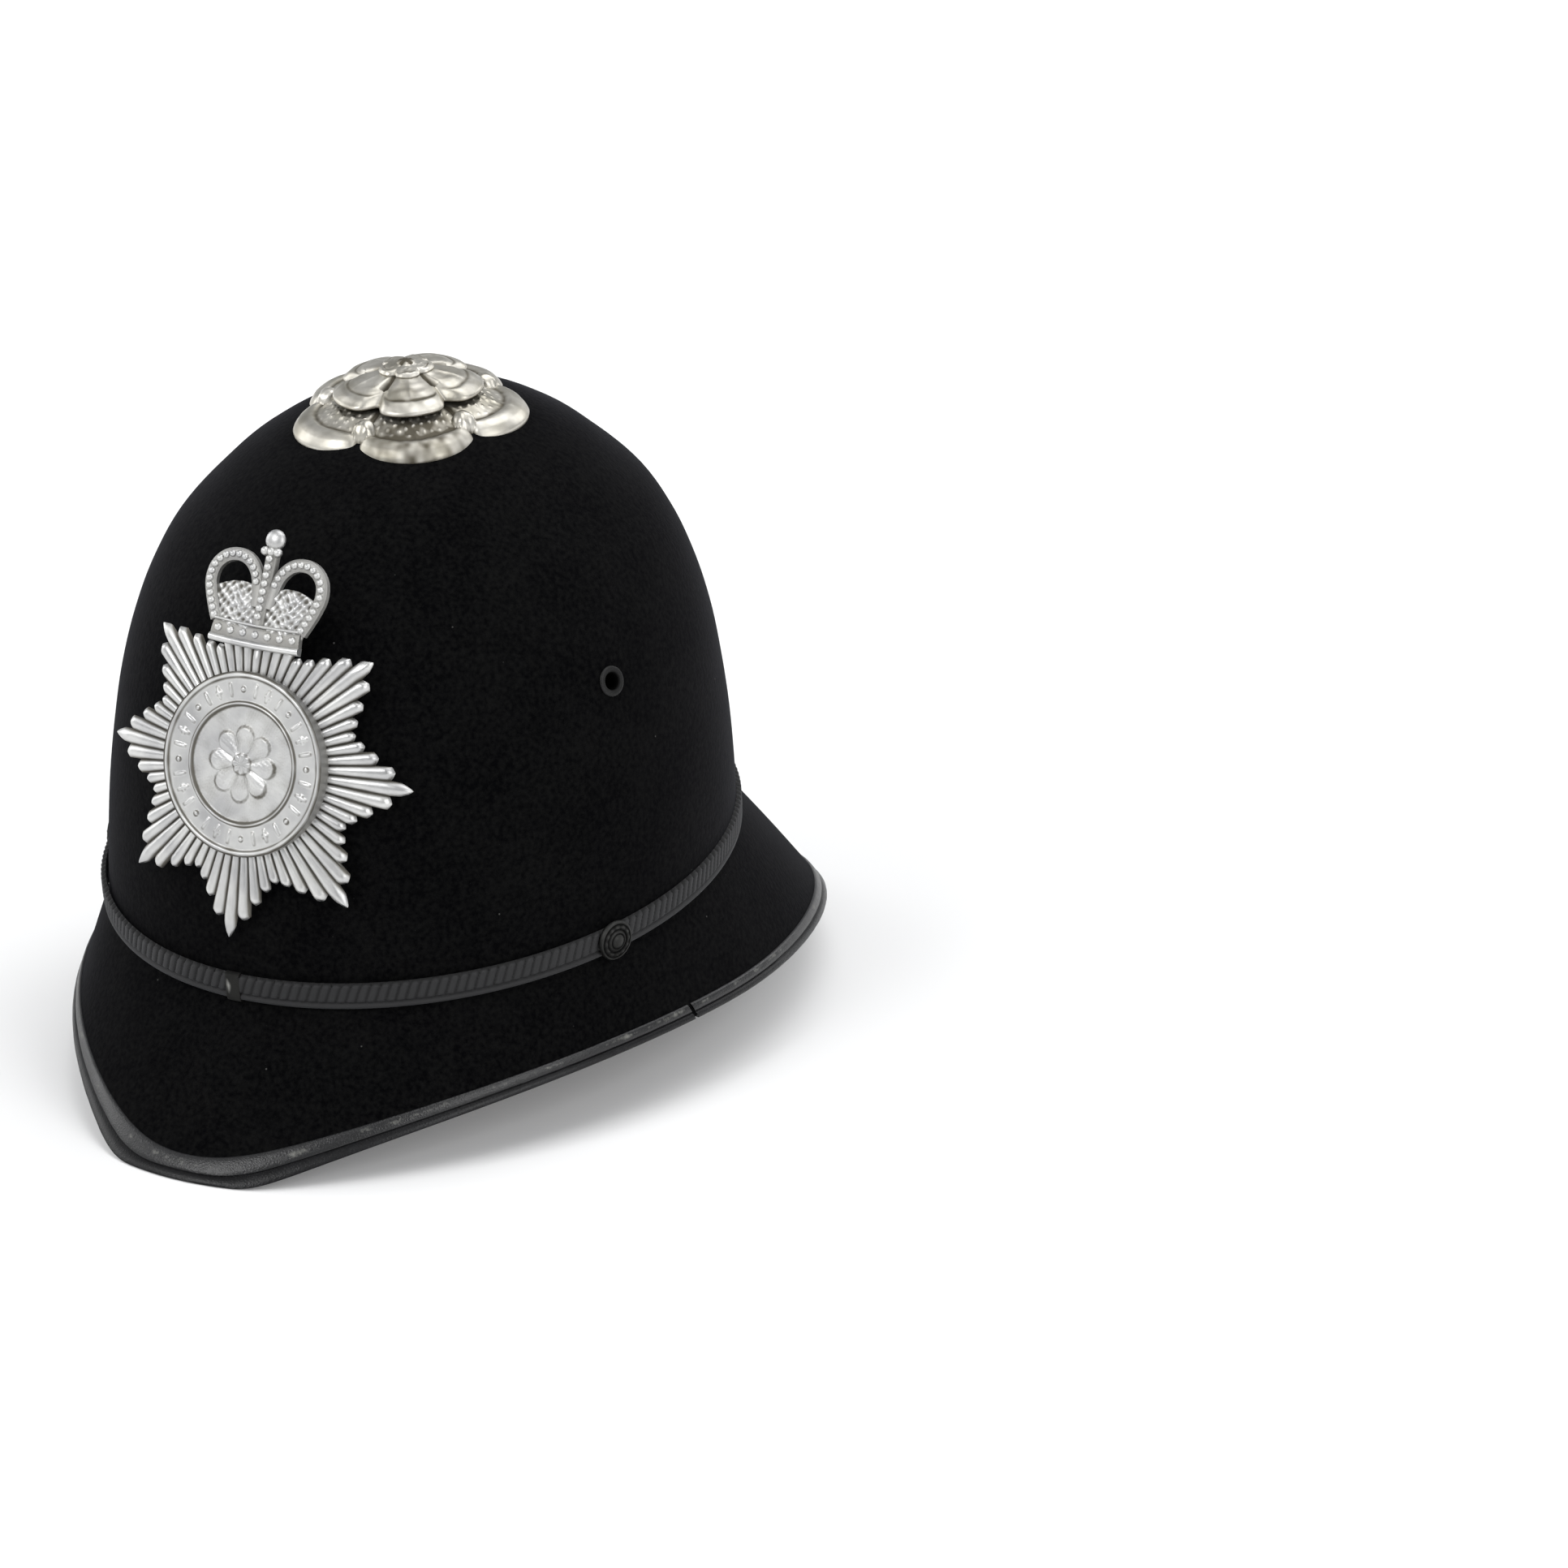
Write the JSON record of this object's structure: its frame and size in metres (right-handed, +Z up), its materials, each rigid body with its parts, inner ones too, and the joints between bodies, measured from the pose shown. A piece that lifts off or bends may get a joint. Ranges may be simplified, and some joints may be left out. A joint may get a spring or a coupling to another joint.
{
  "type": "custodian helmet",
  "caption": "Tall felted helmet with a flared arched brim, braided hat band, front plate, top rose with a vent, headband and hinged chin strap.",
  "frame": {"origin": "on the floor under the middle of the brim", "axes": "+Z up, -Y to the front of the helmet, +X to the wearer's left"},
  "size_m": [0.2254, 0.3316, 0.2284],
  "materials": {
    "felt": "black wool felt, close nap",
    "cork_shell": "moulded cork body",
    "lining_cloth": "black lining cloth",
    "patent_binding": "worn patent binding",
    "braid": "plaited worsted braid",
    "keeper_metal": "black enamel, worn bright",
    "fixing_steel": "plain",
    "rose_metal": "nickel, lightly tarnished",
    "badge_metal": "nickel, die struck",
    "brass_fitting": "satin",
    "sweat_leather": "smooth tan leather",
    "pad_cork": "cut cork",
    "lace_cord": "round black cord",
    "strap_leather": "black strap leather",
    "buckle_metal": "nickel plated",
    "button_metal": "worn plating over brass",
    "eyelet_metal": "dull nickel"
  },
  "bodies": {
    "helmet": {"badge_crown": "badge_metal", "badge_disc": "badge_metal", "badge_lugs": "brass_fitting", "badge_pins": "brass_fitting", "badge_star": "badge_metal", "band_keeper": "keeper_metal", "brim_lining": "lining_cloth", "crown_lining": "lining_cloth", "eyelet_washer_left": "eyelet_metal", "eyelet_washer_right": "eyelet_metal", "felt_cover": "felt", "front_edge_binding": "patent_binding", "hat_band": "braid", "lining_lace": "lace_cord", "rear_edge_binding": "patent_binding", "rose_centre": "rose_metal", "rose_flange": "rose_metal", "rose_head": "rose_metal", "rose_stem": "fixing_steel", "shell": "cork_shell", "side_button_left": "button_metal", "side_button_right": "button_metal", "side_nut_left": "fixing_steel", "side_nut_right": "fixing_steel", "side_washer_left": "fixing_steel", "side_washer_right": "fixing_steel", "spacer_pads": "pad_cork", "stem_nut": "fixing_steel", "stem_washer": "fixing_steel", "sweatband": "sweat_leather", "vent_collar": "fixing_steel", "vent_eyelet_left": "eyelet_metal", "vent_eyelet_right": "eyelet_metal"},
    "chin_strap": {"strap_long_half": "strap_leather", "strap_short_half": "strap_leather", "strap_end_eyelets": "brass_fitting", "buckle_frame": "buckle_metal", "buckle_tongue": "buckle_metal", "strap_keeper": "strap_leather"}
  },
  "joints": [
    {"name": "chin_strap_hinge", "type": "hinge", "parent": "helmet", "child": "chin_strap", "pos_m": [0, -0.05475, 0.05943], "axis": [-1, 0, 0], "range_deg": [-12, 100]}
  ]
}
